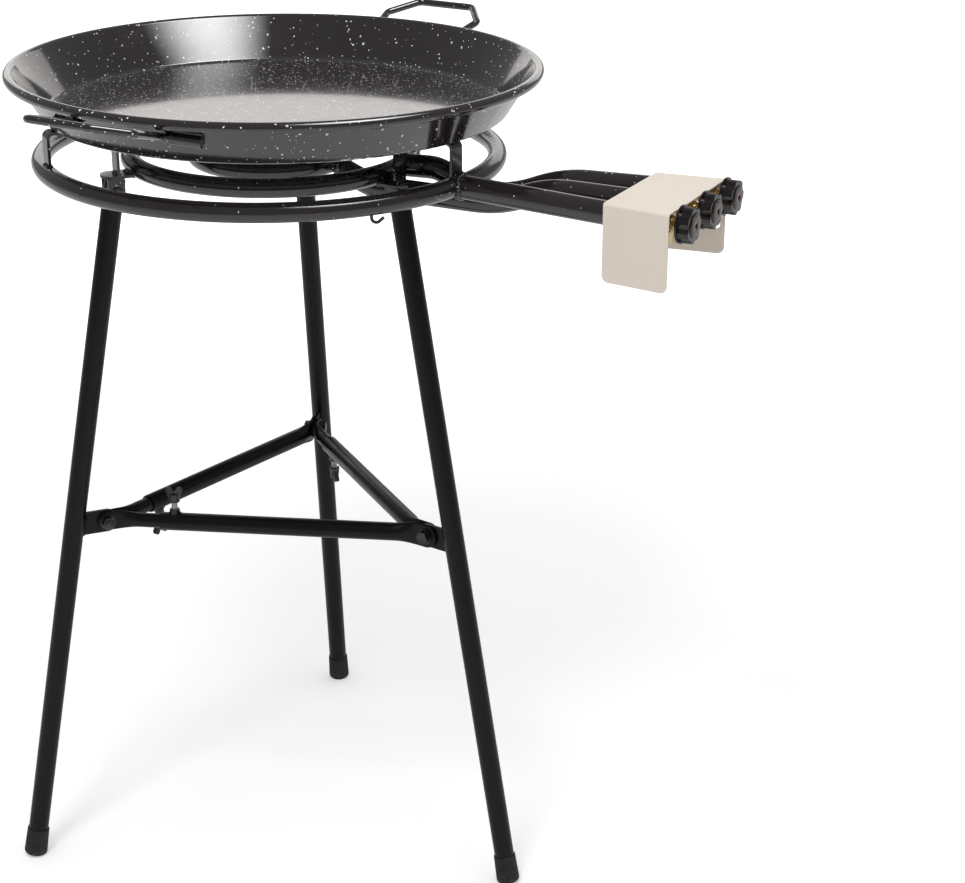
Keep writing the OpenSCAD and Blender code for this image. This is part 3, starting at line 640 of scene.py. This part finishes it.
def stadium(fraction, thick, high):
    """Point at a fraction of the way round a flattened tube's outline."""
    flat, cap = high - thick, math.pi * thick / 2
    whole = 2 * (flat + cap)
    along = (fraction + 0.5 * flat / whole) % 1.0 * whole
    if along < flat:
        return thick / 2, along - flat / 2
    if along < flat + cap:
        t = (along - flat) / thick * 2
        return math.cos(t) * thick / 2, flat / 2 + math.sin(t) * thick / 2
    if along < 2 * flat + cap:
        return -thick / 2, flat / 2 - (along - flat - cap)
    t = math.pi + (along - 2 * flat - cap) / thick * 2
    return math.cos(t) * thick / 2, -flat / 2 + math.sin(t) * thick / 2


def smooth(x):
    """Eased step from 0 to 1."""
    x = min(max(x, 0.0), 1.0)
    return x * x * (3 - 2 * x)


def brace_tube(node, k, side, diameter, length):
    """A brace tube crushed flat at its bolted corner: tongue, bend, neck, then round to an open end."""
    outward, sideways = side_of_leg(k)
    corner = joint_at(f"brace_corner_{k}_turn")
    high = min(SPREAD * diameter, WIDEST)
    straight = -outward
    turned = -outward * math.cos(BRACE_TURN) + sideways * side * math.sin(BRACE_TURN)
    arc_r = BEND_CUT / math.tan(BRACE_TURN / 2)
    arc_len = arc_r * BRACE_TURN
    origin = corner + sideways * side * TONGUE_OUT
    inner = sideways * side

    def at(s):
        """Centre line point and direction, s metres from the bolt."""
        start = TONGUE_LEN - BEND_CUT
        if s <= start:
            return origin + straight * s, straight
        if s <= start + arc_len:
            t = (s - start) / arc_r
            place = origin + straight * (start + arc_r * math.sin(t)) + inner * arc_r * (1 - math.cos(t))
            return place, straight * math.cos(t) + inner * math.sin(t)
        bend = origin + straight * TONGUE_LEN
        return bend + turned * (BEND_CUT + s - start - arc_len), turned

    end = TONGUE_LEN + length - (2 * BEND_CUT - arc_len)
    crush_from, crush_to = TONGUE_LEN * CRUSH_START, TONGUE_LEN + NECK
    stations = [-high / 2 * math.cos(math.pi / 2 * i / TIP_STEPS) for i in range(TIP_STEPS)]
    stations += [0.0, 0.004]
    stations += [crush_from + (crush_to - crush_from) * i / NECK_STEPS for i in range(NECK_STEPS + 1)]
    stations += [end - 0.001, end]

    def outline(s, shrink):
        """The tube's section s metres from the bolt."""
        place, along = at(s)
        across = UP.cross(along)
        tall = high if s > 0 else max(2 * math.sqrt(max((high / 2) ** 2 - s * s, 0)), TONGUE_T * 1.02)
        round_share = smooth((s - crush_from) / (crush_to - crush_from))
        ring = []
        for j in range(TUBE_SIDES):
            flat_x, flat_z = stadium(j / TUBE_SIDES, TONGUE_T, tall)
            t = math.tau * j / TUBE_SIDES
            x = flat_x * (1 - round_share) + math.cos(t) * diameter / 2 * round_share
            z = flat_z * (1 - round_share) + math.sin(t) * diameter / 2 * round_share
            ring.append(place + across * x * shrink + UP * z * shrink)
        return ring

    hollow = 1 - 2 * TUBE_WALL / diameter
    rings = [outline(s, 1.0 if s < end else 1 - END_BEVEL / diameter) for s in stations]
    rings += [outline(end, hollow), outline(crush_to + BORE_START, hollow)]
    obj = piece(f"{node}_tube", *tube_mesh(rings, False), "satin_black", f"brace_corner_{k}",
                "satin_black")
    drill(obj, corner, sideways, HOLE_D / 2)
    sharpen(obj)
    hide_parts(node)


def drill(obj, centre, axis, radius):
    """Cuts a round hole through obj along axis."""
    bm = bmesh.new()
    turn = axis.to_track_quat("Z", "Y").to_matrix().to_4x4()
    bmesh.ops.create_cone(bm, cap_ends=True, segments=32, radius1=radius, radius2=radius, depth=0.02,
                          matrix=Matrix.Translation(centre) @ turn)
    mesh = bpy.data.meshes.new("drill")
    bm.to_mesh(mesh)
    bm.free()
    cutter = bpy.data.objects.new("drill", mesh)
    SCENE.collection.objects.link(cutter)
    cut = obj.modifiers.new("hole", "BOOLEAN")
    cut.object, cut.operation, cut.solver = cutter, "DIFFERENCE", "EXACT"
    bpy.context.view_layer.update()
    result = bpy.data.meshes.new_from_object(obj.evaluated_get(bpy.context.evaluated_depsgraph_get()))
    obj.modifiers.clear()
    obj.data = result
    bpy.data.objects.remove(cutter)


def clamp_details(number, clamp, along):
    """Weld round a clamp nut and the bare thread of its wing screw."""
    node = f"wing_screw_{number}"
    least, most = extent(node, UP)
    up = UP if most - clamp.z > clamp.z - least else -UP
    across = up.cross(along)
    path = []
    for i in range(48):
        t = math.tau * i / 48
        x, y = CLAMP_WELD_R * math.cos(t), CLAMP_WELD_R * math.sin(t)
        path.append(clamp + along * x + across * y + up * math.sqrt((SLEEVE_D / 2) ** 2 - y ** 2))
    weld(f"weld_clamp_nut_{number}", path, BEAD_R["clamp_nut"], body_of(f"clamp_nut_{number}"),
         closed=True, finish="satin_black", slot="satin_black")
    start = clamp + up * (SLEEVE_D / 2 + THREAD_FROM)
    thread(f"thread_{number}", start, up, THREAD_LEN, THREAD_R, THREAD_PITCH, "steel", body_of(node),
           "steel")


def make_braces():
    """Three sleeves and three rods, each given by its number, its bolted corner and its side of the leg."""
    for number, k, side in ((1, 1, 1), (2, 2, 1), (3, 1, -1)):
        outward, sideways = side_of_leg(k)
        bend = joint_at(f"brace_corner_{k}_turn") + sideways * side * TONGUE_OUT - outward * TONGUE_LEN
        clamp = joint_at(f"wing_screw_{number}_turn")
        length = (clamp - bend).length + CLAMP_TO_END
        brace_tube(f"brace_sleeve_{number}", k, side, SLEEVE_D, length)
        clamp_details(number, clamp, (clamp - bend).normalized())
    for number, k, side in ((1, 2, -1), (2, 3, -1), (3, 3, 1)):
        brace_tube(f"brace_rod_{number}", k, side, ROD_D, ROD_LEN)


make_braces()


# ---- light and floor ----
FLOOR_GLOW, ROOM_LIGHT, MIRRORED_ROOM = 0.30, 0.62, 0.24
FLOOR_HALF, GLOW_FROM, GLOW_TO = 7.0, 1.2, 2.6  # the floor glows fully from GLOW_TO metres out
MIDDLE_OF_PART = Vector((0, 0, 0.8))
SOFTBOX_CORE = 0.15  # share of its radius in which the sheet glows evenly


def area_light(name, at, target, size, power, color=(1, 1, 1)):
    data = bpy.data.lights.new(name, "AREA")
    data.shape = "RECTANGLE"
    data.size, data.size_y = size
    data.energy = power
    data.color = color
    light = bpy.data.objects.new(name, data)
    light.location = at
    light.rotation_euler = (Vector(target) - Vector(at)).to_track_quat("-Z", "Y").to_euler()
    light.visible_camera = False
    SCENE.collection.objects.link(light)
    return light


def diffuser(name, at, size, strength):
    """An oval glowing sheet that fades from its middle to its rim. It shows in reflections alone."""
    sides, half = 64, (size[0] / 2, size[1] / 2)
    turn = (MIDDLE_OF_PART - at).to_track_quat("-Z", "Y").to_matrix().to_4x4()
    rim = [(half[0] * math.cos(math.tau * i / sides), half[1] * math.sin(math.tau * i / sides), 0)
           for i in range(sides)]
    mesh = bpy.data.meshes.new(name)
    mesh.from_pydata(rim, [], [tuple(range(sides))])
    sheet = bpy.data.objects.new(name, mesh)
    sheet.matrix_world = Matrix.Translation(at) @ turn
    SCENE.collection.objects.link(sheet)
    n = Nodes(name)
    scaled = n.make("ShaderNodeVectorMath", {0: n.position, 1: (1 / half[0], 1 / half[1], 0)},
                    operation="MULTIPLY").outputs[0]
    away = n.make("ShaderNodeVectorMath", {0: scaled}, operation="LENGTH").outputs["Value"]
    limits = {"Value": away, "From Min": SOFTBOX_CORE, "From Max": 1.0, "To Min": 1.0, "To Max": 0.0}
    fade = n.make("ShaderNodeMapRange", limits, interpolation_type="SMOOTHSTEP").outputs["Result"]
    n.set(Base_Color=rgb(0, 0, 0), Roughness=1.0, Specular_IOR_Level=0.0, Emission_Color=rgb(1, 1, 1),
          Emission_Strength=n.math("MULTIPLY", fade, strength))
    sheet.data.materials.append(n.material)
    sheet.visible_camera = sheet.visible_diffuse = sheet.visible_shadow = False


def make_floor():
    """Pale floor whose far part fades into the white backdrop; its glow is seen by the camera alone."""
    mesh = bpy.data.meshes.new("floor")
    corners = [(x * FLOOR_HALF, y * FLOOR_HALF, 0) for x, y in ((-1, -1), (1, -1), (1, 1), (-1, 1))]
    mesh.from_pydata(corners, [], [(0, 1, 2, 3)])
    floor = bpy.data.objects.new("floor", mesh)
    SCENE.collection.objects.link(floor)
    n = Nodes("studio_floor")
    n.set(Base_Color=rgb(0.86, 0.86, 0.86), Roughness=0.9, Specular_IOR_Level=0.1)
    away = n.make("ShaderNodeVectorMath", {0: n.position}, operation="LENGTH").outputs["Value"]
    path = n.make("ShaderNodeLightPath")
    glow = n.ramp(away, GLOW_FROM, GLOW_TO, FLOOR_GLOW, 1.0)
    glow = n.math("MULTIPLY", glow, path.outputs["Is Camera Ray"])
    n.set(Emission_Color=rgb(1, 1, 1), Emission_Strength=glow)
    floor.data.materials.append(n.material)


def make_world():
    """White room: white to the camera, lights at ROOM_LIGHT, mirrored dimmer as under a dark ceiling."""
    world = bpy.data.worlds.new("studio")
    SCENE.world = world
    world.use_nodes = True
    tree = world.node_tree
    background = tree.nodes["Background"]
    path = tree.nodes.new("ShaderNodeLightPath")
    mirrored = tree.nodes.new("ShaderNodeMapRange")
    mirrored.inputs["To Min"].default_value = ROOM_LIGHT
    mirrored.inputs["To Max"].default_value = MIRRORED_ROOM
    tree.links.new(path.outputs["Is Glossy Ray"], mirrored.inputs["Value"])
    seen = tree.nodes.new("ShaderNodeMath")
    seen.operation = "MAXIMUM"
    tree.links.new(path.outputs["Is Camera Ray"], seen.inputs[0])
    tree.links.new(path.outputs["Is Transmission Ray"], seen.inputs[1])
    strength = tree.nodes.new("ShaderNodeMapRange")
    tree.links.new(mirrored.outputs["Result"], strength.inputs["To Min"])
    strength.inputs["To Max"].default_value = 1.0
    tree.links.new(seen.outputs[0], strength.inputs["Value"])
    tree.links.new(strength.outputs["Result"], background.inputs["Strength"])
    background.inputs["Color"].default_value = (1, 1, 1, 1)


def toward(azimuth, elevation, distance):
    """The place that far from the part's middle, at these angles in degrees."""
    a, e = math.radians(azimuth), math.radians(elevation)
    ray = Vector((math.cos(e) * math.cos(a), math.cos(e) * math.sin(a), math.sin(e)))
    return MIDDLE_OF_PART + distance * ray


def make_lights():
    """The key and overhead lights stay out of reflections; the softbox shows only in them, and the backdrop
    shows in them but doesn't light matt surfaces."""
    key = area_light("key", at=toward(-81, 53, 3.2), target=(0, 0, 0.6), size=(0.8, 0.8), power=36)
    key.visible_glossy = False
    overhead = area_light("overhead", at=(0.5, 0.0, 3.4), target=(0.3, 0, 0.8), size=(2.6, 2.6), power=22)
    overhead.visible_glossy = False
    diffuser("softbox", at=toward(-3, 64, 2.6), size=(2.5, 1.8), strength=13.0)
    backdrop = area_light("backdrop", at=toward(115.7, 15, 4.0), target=MIDDLE_OF_PART, size=(5.0, 1.4),
                          power=20, color=(1.0, 0.97, 0.94))
    backdrop.visible_diffuse = False


make_world()
make_floor()
make_lights()
SCENE.view_settings.view_transform = "Standard"
